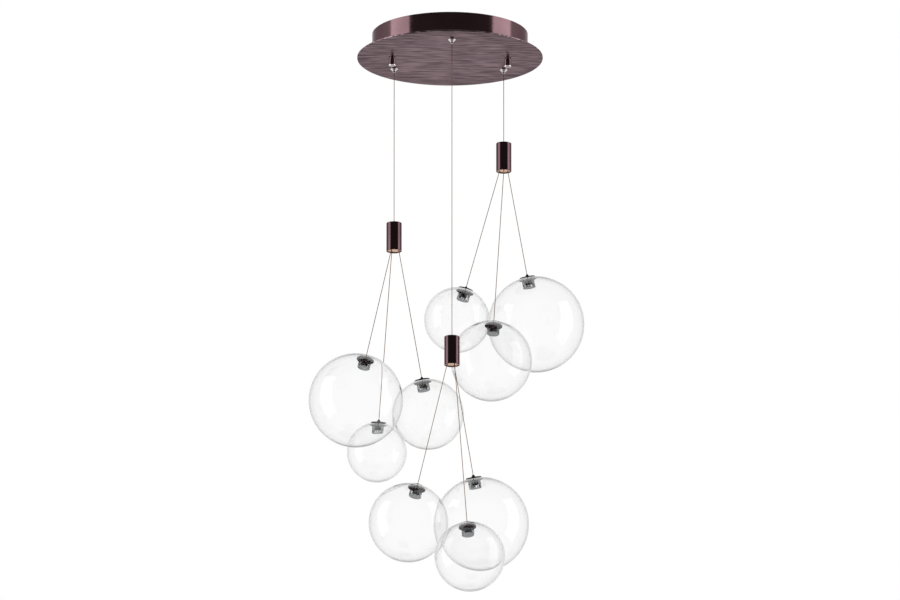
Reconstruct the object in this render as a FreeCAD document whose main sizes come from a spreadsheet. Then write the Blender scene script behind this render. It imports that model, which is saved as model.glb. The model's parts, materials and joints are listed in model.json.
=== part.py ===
"""Cluster pendant: a round ceiling canopy, three hubs on cables, and nine glass globes in threes.

Frame: millimetres, +Z up, origin at the centre of the ceiling plane, front towards -Y.
The light hangs below Z = 0. Each cluster hangs from its own exit in the canopy's disc.
"""
import FreeCAD, Part
import Sketcher
import math
import os
import re

# ---------------------------------------------------------------- driving dimensions (mm, degrees)

CANOPY_SIZES = {
    "disc_diameter": 400.0,
    "disc_thickness": 3.0,
    "disc_edge_chamfer": 0.6,
    "drum_diameter": 336.0,
    "drum_height": 50.0,
    "drum_wall": 1.5,
    "drum_flange_width": 14.0,
    "weld_stud_diameter": 4.0,
    "weld_stud_length": 9.0,
    "weld_stud_count": 4.0,
    "weld_nut_across": 7.0,
    "weld_nut_height": 3.2,
    "bracket_end_gap": 16.5,
    "bracket_width": 40.0,
    "bracket_thickness": 2.5,
    "bracket_slot_spacing": 180.0,
    "bracket_slot_length": 16.0,
    "bracket_slot_width": 5.0,
    "bracket_wire_hole": 22.0,
    "hanging_stud_spacing": 249.0,
    "hanging_stud_diameter": 5.0,
    "hanging_stud_engagement": 12.0,
    "jam_nut_across": 8.0,
    "jam_nut_height": 4.0,
    "cap_nut_diameter": 15.5,
    "cap_nut_length": 17.5,
    "cap_nut_neck_diameter": 11.0,
    "cap_nut_neck_length": 1.5,
    "cap_nut_edge_chamfer": 0.8,
    "cap_nut_rounding": 1.5,
    "cap_nut_socket_diameter": 8.0,
    "cap_nut_socket_depth": 3.2,
}

INSIDE_SIZES = {
    "driver_length": 170.0,
    "driver_width": 52.0,
    "driver_height": 28.0,
    "driver_corner_radius": 3.0,
    "driver_ear_length": 14.0,
    "driver_ear_thickness": 3.0,
    "driver_ear_width": 20.0,
    "driver_cover_length": 26.0,
    "driver_cover_thickness": 1.6,
    "driver_shift": 30.0,
    "terminal_pitch": 18.0,
    "terminal_poles": 3.0,
    "terminal_depth": 20.0,
    "terminal_height": 16.0,
    "terminal_wire_bore": 4.0,
    "terminal_screw_diameter": 4.6,
    "terminal_screw_length": 5.0,
    "terminal_screw_recess": 1.2,
    "terminal_screw_spacing": 10.0,
    "terminal_floor": 3.0,
    "terminal_shift": -50.0,
}

GRIP_SIZES = {
    "exit_inset": 13.0,
    "exit_spread": 33.0,
    "grip_shank_diameter": 10.0,
    "grip_shank_length": 13.0,
    "grip_flange_diameter": 17.0,
    "grip_flange_thickness": 1.5,
    "grip_cone_share": 0.4,
    "grip_cone_step": 0.4,
    "grip_tip_wall": 0.7,
    "grip_length": 9.5,
    "grip_mouth_diameter": 3.2,
    "grip_nut_across": 14.0,
    "grip_nut_height": 4.0,
    "swivel_ball_diameter": 7.0,
    "swivel_ball_depth": 4.0,
    "swivel_ball_flare": 12.0,
}

HUB_SIZES = {
    "cable_diameter": 1.5,
    "hub_diameter": 33.0,
    "hub_length": 63.0,
    "hub_wall": 1.4,
    "hub_top_thickness": 3.0,
    "hub_edge_chamfer": 0.4,
    "gland_neck_diameter": 8.0,
    "gland_collar_diameter": 12.4,
    "gland_collar_height": 2.5,
    "gland_shoulder_diameter": 14.0,
    "gland_shoulder_height": 4.0,
    "gland_body_diameter": 10.0,
    "gland_body_length": 6.0,
    "base_thickness": 4.0,
    "base_recess": 1.5,
    "bead_diameter": 5.0,
    "bead_circle_radius": 10.0,
    "bead_mouth_angle": 40.0,
    "bead_mouth_start": 1.2,
    "junction_diameter": 13.6,
    "junction_height": 19.5,
    "junction_chamfer": 1.5,
    "junction_bore_depth": 8.0,
    "hub_top_a": 402.0,
    "hub_top_b": 220.5,
    "hub_top_c": 720.0,
    "bead_bearing_a1": 237.0,
    "bead_bearing_a2": 357.0,
    "bead_bearing_a3": 117.0,
    "bead_bearing_b1": 150.0,
    "bead_bearing_b2": 30.0,
    "bead_bearing_b3": 270.0,
    "bead_bearing_c1": 181.0,
    "bead_bearing_c2": 61.0,
    "bead_bearing_c3": 301.0,
}

GLOBE_SIZES = {
    "globe_a1_diameter": 203.0,
    "globe_a2_diameter": 153.0,
    "globe_a3_diameter": 129.0,
    "globe_b1_diameter": 141.0,
    "globe_b2_diameter": 208.0,
    "globe_b3_diameter": 175.0,
    "globe_c1_diameter": 170.0,
    "globe_c2_diameter": 203.0,
    "globe_c3_diameter": 150.0,
    "globe_a1_wall": 1.5,
    "globe_a2_wall": 2.0,
    "globe_a3_wall": 2.5,
    "globe_b1_wall": 2.5,
    "globe_b2_wall": 1.5,
    "globe_b3_wall": 2.0,
    "globe_c1_wall": 2.0,
    "globe_c2_wall": 1.5,
    "globe_c3_wall": 2.5,
    "globe_hole_diameter": 28.4,
    "cap_diameter": 33.5,
    "cap_thickness": 1.5,
    "cap_neck_diameter": 25.0,
    "cap_cone_base_diameter": 8.6,
    "cap_cone_tip_diameter": 4.0,
    "cap_cone_height": 6.0,
    "cap_cone_collar_height": 1.5,
    "washer_diameter": 38.0,
    "washer_thickness": 1.2,
    "core_diameter": 13.0,
    "core_length": 11.0,
    "lens_diameter": 27.0,
    "lens_length": 19.0,
    "lens_facets": 24.0,
    "lens_dish_diameter": 21.0,
    "lens_dish_depth": 1.0,
}

# How each cluster hangs: the first globe's place in plan from the canopy's centre, its drop below the
# hub's lower end, the bearing and rise of the line to the second globe that rests against it, and the
# roll of the third about that line.
LAYOUT_SIZES = {
    "first_x_a": -201.45,
    "first_y_a": 20.69,
    "first_drop_a": 351.3,
    "bearing_a": 27.8,
    "rise_a": -1.8,
    "roll_a": 54.5,
    "first_x_b": 17.45,
    "first_y_b": 88.99,
    "first_drop_b": 330.4,
    "bearing_b": 10.9,
    "rise_b": 0.3,
    "roll_b": -39.0,
    "first_x_c": -93.8,
    "first_y_c": -171.3,
    "first_drop_c": 359.7,
    "bearing_c": 30.8,
    "rise_c": 7.5,
    "roll_c": -46.4,
}

CLEARANCES = {
    "thread_clearance": 0.05,
    "swivel_clearance": 0.08,
    "seat_clearance": 0.1,
    "hole_clearance": 0.3,
    "cable_clearance": 0.05,
    "globe_clearance": 0.4,
}

CLUSTERS = "abc"
GLOBES = tuple(str(number + 1) for number in range(3))

# How near an edge lies to the place where it is looked for.
MATCH = 0.001

doc = FreeCAD.newDocument("cluster_pendant")
dims = doc.addObject("Spreadsheet::Sheet", "dims")
size_names = set()


def fill_sheet(groups):
    """Write every driving dimension into the sheet: its name in column A, its value in column B."""
    row = 1
    for group in groups:
        for name, number in group.items():
            dims.set("A%d" % row, name)
            dims.set("B%d" % row, str(number))
            dims.setAlias("B%d" % row, name)
            size_names.add(name)
            row += 1
    doc.recompute()


def bound(text):
    """The expression with each size's name pointed at its cell."""
    return re.sub(r"[a-z][a-z0-9_]*", lambda word: "dims." + word.group(0)
                  if word.group(0) in size_names else word.group(0), text)


def size(name):
    """One driving dimension, read from the sheet."""
    return float(dims.get(name))


def value(text):
    """The present value of an expression in the sheet's names."""
    number = dims.evalExpression(bound(text))
    return float(getattr(number, "Value", number))


# ---------------------------------------------------------------- helpers for bodies and booleans

def origin_plane(body, role):
    """One of the body's own origin planes."""
    for feature in body.Origin.OriginFeatures:
        if feature.Role == role:
            return feature
    raise RuntimeError("no plane " + role)


def new_body(name):
    body = doc.addObject("PartDesign::Body", name)
    body.Label = name
    return body


def new_sketch(body, name, role, height="0"):
    """An empty sketch on the body's own plane, lifted along that plane's normal."""
    sketch = body.newObject("Sketcher::SketchObject", name)
    sketch.AttachmentSupport = [(origin_plane(body, role), "")]
    sketch.MapMode = "FlatFace"
    if height != "0":
        sketch.setExpression("AttachmentOffset.Base.z", bound(height))
    return sketch


def fix_point(sketch, geometry, point, across, along):
    """Hold a point of the sketch at two expressions from the sketch's origin."""
    for kind, text, axis in (("DistanceX", across, -2), ("DistanceY", along, -1)):
        if text == "0":
            sketch.addConstraint(Sketcher.Constraint("PointOnObject", geometry, point, axis))
            continue
        rule = Sketcher.Constraint(kind, -1, 1, geometry, point, value(text))
        index = sketch.addConstraint(rule)
        sketch.setExpression("Constraints[%d]" % index, bound(text))


def draw_outline(sketch, corners):
    """A closed outline of straight lines through corners given as pairs of expressions."""
    points = [FreeCAD.Vector(value(across), value(along), 0) for across, along in corners]
    count = len(points)
    for i in range(count):
        sketch.addGeometry(Part.LineSegment(points[i], points[(i + 1) % count]), False)
    for i in range(count):
        sketch.addConstraint(Sketcher.Constraint("Coincident", i, 2, (i + 1) % count, 1))
    for i, (across, along) in enumerate(corners):
        fix_point(sketch, i, 1, across, along)


def draw_circles(sketch, circles):
    """Circles given as centre and radius expressions."""
    for across, along, radius in circles:
        centre = FreeCAD.Vector(value(across), value(along), 0)
        circle = Part.Circle(centre, FreeCAD.Vector(0, 0, 1), value(radius))
        index = sketch.addGeometry(circle, False)
        fix_point(sketch, index, 3, across, along)
        rule = sketch.addConstraint(Sketcher.Constraint("Radius", index, value(radius)))
        sketch.setExpression("Constraints[%d]" % rule, bound(radius))


def turned(name, outline):
    """A body turned about Z from an outline of radius and height expressions."""
    body = new_body(name)
    sketch = new_sketch(body, name + "_outline", "XZ_Plane")
    draw_outline(sketch, outline)
    turn = body.newObject("PartDesign::Revolution", name + "_turn")
    turn.Profile = sketch
    turn.ReferenceAxis = (sketch, ["V_Axis"])
    turn.Angle = 360
    body.Tip = turn
    return body


def padded(name, outline, height, base="0"):
    """A body padded up along Z from an outline of X and Y expressions, its foot at base."""
    body = new_body(name)
    sketch = new_sketch(body, name + "_outline", "XY_Plane", base)
    draw_outline(sketch, outline)
    pad = body.newObject("PartDesign::Pad", name + "_pad")
    pad.Profile = sketch
    pad.setExpression("Length", bound(height))
    body.Tip = pad
    return body


def round_rim(body, name, radius, height, rounding):
    """Round the body's circular edge of this radius at this height."""
    doc.recompute()
    base = body.Tip
    rims = []
    for i, edge in enumerate(base.Shape.Edges):
        if not isinstance(edge.Curve, Part.Circle):
            continue
        near = abs(edge.Curve.Radius - value(radius)) + abs(edge.Curve.Center.z - value(height))
        if near < MATCH:
            rims.append("Edge%d" % (i + 1))
    fillet = body.newObject("PartDesign::Fillet", name)
    fillet.Base = (base, rims)
    fillet.setExpression("Radius", bound(rounding))
    body.Tip = fillet


def drill(body, name, circles, depth, top):
    """Pocket round holes down along -Z from the given height, and make sure that they cut."""
    doc.recompute()
    before = body.Shape.Volume
    sketch = new_sketch(body, name + "_sketch", "XY_Plane", top)
    draw_circles(sketch, circles)
    pocket = body.newObject("PartDesign::Pocket", name)
    pocket.Profile = sketch
    pocket.setExpression("Length", bound(depth))
    body.Tip = pocket
    doc.recompute()
    if body.Shape.Volume >= before:
        raise RuntimeError(name + " cuts nothing")
    return pocket


def polar(body, name, feature, sketch, count):
    """Repeat a feature of the body evenly about Z."""
    pattern = body.newObject("PartDesign::PolarPattern", name)
    pattern.Originals = [feature]
    pattern.Axis = (sketch, ["N_Axis"])
    pattern.Angle = 360
    pattern.setExpression("Occurrences", bound(count))
    body.Tip = pattern
    return pattern


def primitive(kind, name, place=("0", "0", "0"), **sizes):
    """A Part primitive whose sizes and place are expressions."""
    shape = doc.addObject("Part::" + kind, name)
    for prop, text in sizes.items():
        shape.setExpression(prop, bound(text))
    for axis, text in zip("xyz", place):
        if text != "0":
            shape.setExpression("Placement.Base." + axis, bound(text))
    return shape


def move(item, across="0", along="0", height="0"):
    """Place an object by expressions."""
    for axis, text in zip("xyz", (across, along, height)):
        if text != "0":
            item.setExpression("Placement.Base." + axis, bound(text))
    return item


def cut(name, base, tools):
    """The base less all the tools."""
    tool = tools[0]
    if len(tools) > 1:
        tool = doc.addObject("Part::MultiFuse", name + "_tools")
        tool.Shapes = tools
    result = doc.addObject("Part::Cut", name)
    result.Base = base
    result.Tool = tool
    result.Label = name
    return result


def fuse(name, members):
    result = doc.addObject("Part::MultiFuse", name)
    result.Shapes = members
    result.Label = name
    return result


def group(name, members):
    """Separate solids that share a node."""
    result = doc.addObject("Part::Compound", name)
    result.Links = members
    result.Label = name
    return result


def hex_nut(name, across, height, bore, place):
    """A plain hexagon nut that stands on its place."""
    blank = primitive("Prism", name + "_blank", place, Circumradius=across + " / 2 / cos(30 deg)",
                      Height=height)
    blank.Polygon = 6
    hole = primitive("Cylinder", name + "_hole", place, Radius=bore, Height=height)
    return cut(name, blank, [hole])


# ---------------------------------------------------------------- canopy

DISC_TOP = "(-drum_height)"
DISC_BOTTOM = "(-drum_height - disc_thickness)"
WELD_RADIUS = "(drum_diameter / 2 - drum_flange_width / 2)"
WELD_X = WELD_RADIUS + " * cos(45 deg)"
EXIT_RADIUS = "(drum_diameter / 2 - drum_flange_width - exit_inset)"
# The studs inside the canopy: X, Y and the thickness that each one's nut holds down.
INNER_STUDS = (
    ("driver_length / 2 + driver_ear_length / 2", "driver_shift", "driver_ear_thickness"),
    ("-driver_length / 2 - driver_ear_length / 2", "driver_shift", "driver_ear_thickness"),
    ("terminal_pitch / 2", "terminal_shift", "terminal_floor"),
)


def exit_place(cluster):
    """Where a cluster's cable leaves the disc, as X and Y expressions."""
    if cluster == "c":
        return "0", "-" + EXIT_RADIUS
    side = "-" if cluster == "a" else ""
    return (side + EXIT_RADIUS + " * cos(exit_spread * 1 deg)",
            EXIT_RADIUS + " * sin(exit_spread * 1 deg)")


def make_drum():
    """The drum: a rolled wall from the ceiling down, with an inward flange that the disc hangs on."""
    wall_inside = "drum_diameter / 2 - drum_wall"
    flange_edge = "drum_diameter / 2 - drum_flange_width"
    drum = turned("canopy_drum", [
        ("drum_diameter / 2", "0"),
        ("drum_diameter / 2", "-drum_height"),
        (flange_edge, "-drum_height"),
        (flange_edge, "-drum_height + drum_wall"),
        (wall_inside, "-drum_height + drum_wall"),
        (wall_inside, "0"),
    ])
    hole = drill(drum, "canopy_drum_hole",
                 [(WELD_X, WELD_X, "weld_stud_diameter / 2 + hole_clearance")],
                 "drum_wall", "-drum_height + drum_wall")
    polar(drum, "canopy_drum_holes", hole, hole.Profile[0], "weld_stud_count")
    return drum


def make_disc():
    """The disc: brushed sheet with three cable exits, two stud holes and weld studs on its back."""
    chamfer = "disc_edge_chamfer"
    disc = turned("canopy_plate", [
        ("0", DISC_TOP),
        ("disc_diameter / 2 - " + chamfer, DISC_TOP),
        ("disc_diameter / 2", DISC_TOP + " - " + chamfer),
        ("disc_diameter / 2", DISC_BOTTOM + " + " + chamfer),
        ("disc_diameter / 2 - " + chamfer, DISC_BOTTOM),
        ("0", DISC_BOTTOM),
    ])
    exits = [exit_place(cluster) + ("grip_shank_diameter / 2 + cable_clearance",)
             for cluster in CLUSTERS]
    stud_holes = [(side + "hanging_stud_spacing / 2", "0", "hanging_stud_diameter / 2 + hole_clearance")
                  for side in ("", "-")]
    drill(disc, "canopy_plate_holes", exits + stud_holes, "disc_thickness", DISC_TOP)
    rim_sketch = new_sketch(disc, "canopy_plate_rim_stud", "XY_Plane", DISC_TOP)
    draw_circles(rim_sketch, [(WELD_X, WELD_X, "weld_stud_diameter / 2")])
    rim_stud = disc.newObject("PartDesign::Pad", "canopy_plate_rim_pad")
    rim_stud.Profile = rim_sketch
    rim_stud.setExpression("Length", bound("weld_stud_length"))
    disc.Tip = rim_stud
    polar(disc, "canopy_plate_rim_studs", rim_stud, rim_sketch, "weld_stud_count")
    inner_sketch = new_sketch(disc, "canopy_plate_inner_stud", "XY_Plane", DISC_TOP)
    draw_circles(inner_sketch, [(across, along, "weld_stud_diameter / 2")
                                for across, along, seat in INNER_STUDS])
    inner_studs = disc.newObject("PartDesign::Pad", "canopy_plate_inner_pad")
    inner_studs.Profile = inner_sketch
    inner_studs.setExpression("Length", bound("weld_stud_length"))
    disc.Tip = inner_studs
    return disc


def make_weld_nuts():
    """Nuts on the disc's weld studs: on the drum's flange, the driver's ears and the terminal block."""
    bore = "weld_stud_diameter / 2 + thread_clearance"
    nuts = []
    for i in range(int(size("weld_stud_count"))):
        angle = "(45 + 360 * %d / weld_stud_count) * 1 deg" % i
        place = (WELD_RADIUS + " * cos(%s)" % angle, WELD_RADIUS + " * sin(%s)" % angle,
                 "-drum_height + drum_wall")
        nuts.append(hex_nut("rim_nut_%d" % i, "weld_nut_across", "weld_nut_height", bore, place))
    for i, (across, along, seat) in enumerate(INNER_STUDS):
        place = (across, along, DISC_TOP + " + " + seat)
        nuts.append(hex_nut("inner_nut_%d" % i, "weld_nut_across", "weld_nut_height", bore, place))
    return group("canopy_nuts", nuts)


def make_bracket():
    """The ceiling bracket: a flat bar with two screw slots, a wire hole and two stud holes."""
    half_length = "(drum_diameter / 2 - drum_wall - bracket_end_gap)"
    half_width = "bracket_width / 2"
    bar = padded("ceiling_bracket_bar", [
        ("-" + half_length, "-" + half_width),
        (half_length, "-" + half_width),
        (half_length, half_width),
        ("-" + half_length, half_width),
    ], "bracket_thickness", "-bracket_thickness")
    holes = [("0", "0", "bracket_wire_hole / 2")]
    for side in ("", "-"):
        holes.append((side + "hanging_stud_spacing / 2", "0",
                      "hanging_stud_diameter / 2 + seat_clearance"))
    drill(bar, "ceiling_bracket_holes", holes, "bracket_thickness", "0")
    slots = []
    reach = "(bracket_slot_length - bracket_slot_width) / 2"
    foot = "-bracket_thickness"
    for label, side in (("right", ""), ("left", "-")):
        middle = side + "bracket_slot_spacing / 2"
        corner = ("%s - %s" % (middle, reach), "-bracket_slot_width / 2", foot)
        slots.append(primitive("Box", "slot_%s_middle" % label, corner,
                               Length="bracket_slot_length - bracket_slot_width",
                               Width="bracket_slot_width", Height="bracket_thickness"))
        for end, sign in (("outer", "+"), ("inner", "-")):
            slots.append(primitive("Cylinder", "slot_%s_%s" % (label, end),
                                   ("%s %s %s" % (middle, sign, reach), "0", foot),
                                   Radius="bracket_slot_width / 2", Height="bracket_thickness"))
    return cut("ceiling_bracket", bar, slots)


def make_hanging_studs():
    """Two threaded studs that hang from the bracket, each with a jam nut under the bar."""
    pieces = []
    length = "drum_height + disc_thickness + hanging_stud_engagement"
    for label, side in (("right", ""), ("left", "-")):
        across = side + "hanging_stud_spacing / 2"
        pieces.append(primitive("Cylinder", "stud_" + label, (across, "0", "-(%s)" % length),
                                Radius="hanging_stud_diameter / 2", Height=length))
        pieces.append(hex_nut("jam_nut_" + label, "jam_nut_across", "jam_nut_height",
                              "hanging_stud_diameter / 2 + thread_clearance",
                              (across, "0", "-bracket_thickness - jam_nut_height")))
    return group("mounting_studs", pieces)


def make_cap_nuts():
    """Two cylindrical cap nuts that hold the disc up on the studs, each with a socket below."""
    nuts = []
    bore = "hanging_stud_diameter / 2 + thread_clearance"
    bore_top = "-(hanging_stud_engagement + seat_clearance)"
    body = "cap_nut_diameter / 2"
    chamfer = "cap_nut_edge_chamfer"
    for label, side in (("right", ""), ("left", "-")):
        nut = turned("cap_nut_" + label, [
            (bore, "0"),
            ("cap_nut_neck_diameter / 2", "0"),
            ("cap_nut_neck_diameter / 2", "-cap_nut_neck_length"),
            (body + " - " + chamfer, "-cap_nut_neck_length"),
            (body, "-cap_nut_neck_length - " + chamfer),
            (body, "-cap_nut_length"),
            ("cap_nut_socket_diameter / 2", "-cap_nut_length"),
            ("cap_nut_socket_diameter / 2", "-cap_nut_length + cap_nut_socket_depth"),
            ("0", "-cap_nut_length + cap_nut_socket_depth"),
            ("0", bore_top),
            (bore, bore_top),
        ])
        round_rim(nut, "cap_nut_rim_" + label, body, "-cap_nut_length", "cap_nut_rounding")
        nuts.append(move(nut, side + "hanging_stud_spacing / 2", "0", DISC_BOTTOM))
    return group("cap_nuts", nuts)


# ---------------------------------------------------------------- inside the canopy

def rectangle(left, right, front, back):
    return [(left, front), (right, front), (right, back), (left, back)]


def make_driver():
    """The lamp driver: a sealed block with two ears on weld studs and a cover over each end."""
    half = "driver_length / 2"
    front = "driver_shift - driver_width / 2"
    back = "driver_shift + driver_width / 2"
    block = padded("driver_block", rectangle("-" + half, half, front, back),
                   "driver_height", DISC_TOP)
    doc.recompute()
    pad = block.Tip
    upright = ["Edge%d" % (i + 1) for i, edge in enumerate(pad.Shape.Edges)
               if abs(edge.tangentAt(edge.FirstParameter).z) > 0.9]
    rounding = block.newObject("PartDesign::Fillet", "driver_block_rounding")
    rounding.Base = (pad, upright)
    rounding.setExpression("Radius", bound("driver_corner_radius"))
    block.Tip = rounding
    ears = []
    drills = []
    for label, side in (("right", 1), ("left", -1)):
        inner = "driver_length / 2" if side > 0 else "-driver_length / 2 - driver_ear_length"
        ears.append(primitive("Box", "driver_ear_" + label,
                              (inner, "driver_shift - driver_ear_width / 2", DISC_TOP),
                              Length="driver_ear_length", Width="driver_ear_width",
                              Height="driver_ear_thickness"))
        middle = "%s(driver_length / 2 + driver_ear_length / 2)" % ("" if side > 0 else "-")
        drills.append(primitive("Cylinder", "driver_ear_hole_" + label,
                                (middle, "driver_shift", DISC_TOP),
                                Radius="weld_stud_diameter / 2 + hole_clearance",
                                Height="driver_ear_thickness"))
    case = cut("driver_case", fuse("driver_case_blank", [block] + ears), drills)
    covers = []
    for label, side in (("right", 1), ("left", -1)):
        start = ("driver_length / 2 - driver_cover_length" if side > 0 else "-driver_length / 2")
        covers.append(primitive("Box", "driver_cover_" + label,
                                (start, front, DISC_TOP + " + driver_height"),
                                Length="driver_cover_length", Width="driver_width",
                                Height="driver_cover_thickness"))
    return group("led_driver", [case] + covers)


def make_terminal_block():
    """The mains terminal block: one wire bore and two clamp screws for each pole."""
    length = "terminal_poles * terminal_pitch"
    front = "terminal_shift - terminal_depth / 2"
    blank = primitive("Box", "terminal_blank", ("-(%s) / 2" % length, front, DISC_TOP),
                      Length=length, Width="terminal_depth", Height="terminal_height")
    tools = []
    screws = []
    well_depth = "terminal_screw_length + terminal_screw_recess"
    well_floor = "%s + terminal_height - (%s)" % (DISC_TOP, well_depth)
    for pole in range(int(size("terminal_poles"))):
        across = "(%d - (terminal_poles - 1) / 2) * terminal_pitch" % pole
        bore = primitive("Cylinder", "terminal_bore_%d" % pole,
                         (across, front, DISC_TOP + " + terminal_height / 2 - terminal_wire_bore / 2"),
                         Radius="terminal_wire_bore / 2", Height="terminal_depth")
        bore.Placement.Rotation = FreeCAD.Rotation(FreeCAD.Vector(1, 0, 0), -90)
        tools.append(bore)
        for row, side in (("front", "-"), ("back", "+")):
            along = "terminal_shift %s terminal_screw_spacing / 2" % side
            tools.append(primitive("Cylinder", "terminal_well_%d_%s" % (pole, row),
                                   (across, along, well_floor),
                                   Radius="terminal_screw_diameter / 2 + thread_clearance",
                                   Height=well_depth))
            screws.append(primitive("Cylinder", "terminal_screw_%d_%s" % (pole, row),
                                    (across, along, well_floor),
                                    Radius="terminal_screw_diameter / 2",
                                    Height="terminal_screw_length"))
    stud_across, stud_along, floor = INNER_STUDS[2]
    tools.append(primitive("Cylinder", "terminal_stud_hole", (stud_across, stud_along, DISC_TOP),
                           Radius="weld_stud_diameter / 2 + hole_clearance", Height=floor))
    tools.append(primitive("Cylinder", "terminal_nut_well",
                           (stud_across, stud_along, DISC_TOP + " + " + floor),
                           Radius="weld_nut_across / 2 / cos(30 deg) + hole_clearance",
                           Height="terminal_height - " + floor))
    return group("terminal_block", [cut("terminal_body", blank, tools)] + screws)


# ---------------------------------------------------------------- cable grips and main cables

PIVOT_HEIGHT = DISC_BOTTOM + " - swivel_ball_depth"
SEAT_RADIUS = "(swivel_ball_diameter / 2 + swivel_clearance)"
# The grip's cone ends at a share of the ball's diameter below the ball's centre.
CONE_DROP = "(swivel_ball_diameter * grip_cone_share)"
TIP_RADIUS = "(sqrt(%s ^ 2 - %s ^ 2) + grip_tip_wall)" % (SEAT_RADIUS, CONE_DROP)


def make_grip(cluster):
    """A cable grip: threaded shank through the disc, flange, cone and tip below, and a ball seat."""
    across, along = exit_place(cluster)
    shank = "grip_shank_diameter / 2"
    cone_foot = "-swivel_ball_depth - " + CONE_DROP
    blank = turned("grip_blank_" + cluster, [
        ("0", "grip_shank_length"),
        (shank, "grip_shank_length"),
        (shank, "0"),
        ("grip_flange_diameter / 2", "0"),
        ("grip_flange_diameter / 2", "-grip_flange_thickness"),
        (TIP_RADIUS + " + grip_cone_step", cone_foot),
        (TIP_RADIUS, cone_foot),
        (TIP_RADIUS, "-grip_length"),
        ("0", "-grip_length"),
    ])
    move(blank, across, along, DISC_BOTTOM)
    seat = primitive("Sphere", "grip_seat_" + cluster, (across, along, PIVOT_HEIGHT),
                     Radius=SEAT_RADIUS)
    bore = primitive("Cylinder", "grip_bore_" + cluster, (across, along, PIVOT_HEIGHT),
                     Radius=SEAT_RADIUS, Height="swivel_ball_depth + grip_shank_length")
    mouth = primitive("Cone", "grip_mouth_" + cluster, (across, along, DISC_BOTTOM + " - grip_length"),
                      Radius1="grip_mouth_diameter / 2", Radius2="cable_diameter / 2 + hole_clearance",
                      Height="grip_length - swivel_ball_depth")
    return cut("grip_body_" + cluster, blank, [seat, bore, mouth])


def make_grips():
    """The three grips and their lock nuts on the disc's back."""
    pieces = []
    for cluster in CLUSTERS:
        across, along = exit_place(cluster)
        pieces.append(make_grip(cluster))
        pieces.append(hex_nut("grip_nut_" + cluster, "grip_nut_across", "grip_nut_height",
                              "grip_shank_diameter / 2 + thread_clearance",
                              (across, along, DISC_TOP)))
    return group("cable_grips", pieces)


def make_grip_ball(cluster):
    """The swivel ball of a grip, bored like an hourglass so that the cable can lean in it."""
    across, along = exit_place(cluster)
    ball = primitive("Sphere", "ball_" + cluster, (across, along, PIVOT_HEIGHT),
                     Radius="swivel_ball_diameter / 2")
    waist = "cable_diameter / 2 + cable_clearance"
    wide = waist + " + swivel_ball_diameter / 2 * tan(swivel_ball_flare * 1 deg)"
    upper = primitive("Cone", "ball_flare_up_" + cluster, (across, along, PIVOT_HEIGHT),
                      Radius1=waist, Radius2=wide, Height="swivel_ball_diameter / 2")
    lower = primitive("Cone", "ball_flare_down_" + cluster,
                      (across, along, PIVOT_HEIGHT + " - swivel_ball_diameter / 2"),
                      Radius1=wide, Radius2=waist, Height="swivel_ball_diameter / 2")
    return cut("grip_ball_" + cluster, ball, [upper, lower])


def hub_top(cluster):
    return "(-hub_top_%s)" % cluster


def make_main_cable(cluster):
    """The main cable: straight down from inside the grip, through the gland, to the junction."""
    across, along = exit_place(cluster)
    upper_end = DISC_BOTTOM + " + grip_shank_length"
    lower_end = "%s + %s" % (hub_top(cluster), JUNCTION_BORE_FLOOR)
    cable = primitive("Cylinder", "main_cable_" + cluster, (across, along, lower_end),
                      Radius="cable_diameter / 2", Height="%s - (%s)" % (upper_end, lower_end))
    cable.Label = "main_cable_" + cluster
    return cable


# ---------------------------------------------------------------- hubs (heights from the hub's top)

BASE_BOTTOM = "(-hub_length + base_recess)"
BASE_TOP = "(-hub_length + base_recess + base_thickness)"
BEAD_HEIGHT = "(-hub_length + base_recess + base_thickness / 2)"
JUNCTION_TOP = "(-hub_length + base_recess + base_thickness + junction_height)"
JUNCTION_BORE_FLOOR = "(%s - junction_bore_depth)" % JUNCTION_TOP
HUB_BORE = "(hub_diameter / 2 - hub_wall)"


def make_sleeve(cluster):
    """The hub's polished sleeve: a tube with a closed top that turns on the gland's neck."""
    neck_hole = "gland_neck_diameter / 2 + swivel_clearance"
    chamfer = "hub_edge_chamfer"
    sleeve = turned("hub_sleeve_" + cluster, [
        (neck_hole, "0"),
        ("hub_diameter / 2 - " + chamfer, "0"),
        ("hub_diameter / 2", "-" + chamfer),
        ("hub_diameter / 2", "-hub_length + " + chamfer),
        ("hub_diameter / 2 - " + chamfer, "-hub_length"),
        (HUB_BORE, "-hub_length"),
        (HUB_BORE, "-hub_top_thickness"),
        (neck_hole, "-hub_top_thickness"),
    ])
    across, along = exit_place(cluster)
    return move(sleeve, across, along, hub_top(cluster))


def make_gland(cluster):
    """The gland clamped on the cable: its shoulder carries the sleeve's top, a collar nut closes it."""
    bore = "cable_diameter / 2 + cable_clearance"
    neck = "gland_neck_diameter / 2"
    shoulder_top = "-hub_top_thickness - seat_clearance"
    shoulder_foot = shoulder_top + " - gland_shoulder_height"
    neck_top = "seat_clearance + gland_collar_height"
    body = turned("gland_body_" + cluster, [
        (bore, neck_top),
        (neck, neck_top),
        (neck, shoulder_top),
        ("gland_shoulder_diameter / 2", shoulder_top),
        ("gland_shoulder_diameter / 2", shoulder_foot),
        ("gland_body_diameter / 2", shoulder_foot),
        ("gland_body_diameter / 2", shoulder_foot + " - gland_body_length"),
        (bore, shoulder_foot + " - gland_body_length"),
    ])
    chamfer = "hub_edge_chamfer"
    collar = turned("gland_collar_" + cluster, [
        (neck + " + thread_clearance", "seat_clearance"),
        ("gland_collar_diameter / 2", "seat_clearance"),
        ("gland_collar_diameter / 2", neck_top + " - " + chamfer),
        ("gland_collar_diameter / 2 - " + chamfer, neck_top),
        (neck + " + thread_clearance", neck_top),
    ])
    across, along = exit_place(cluster)
    for piece in (body, collar):
        move(piece, across, along, hub_top(cluster))
    return group("hub_gland_" + cluster, [body, collar])


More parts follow.
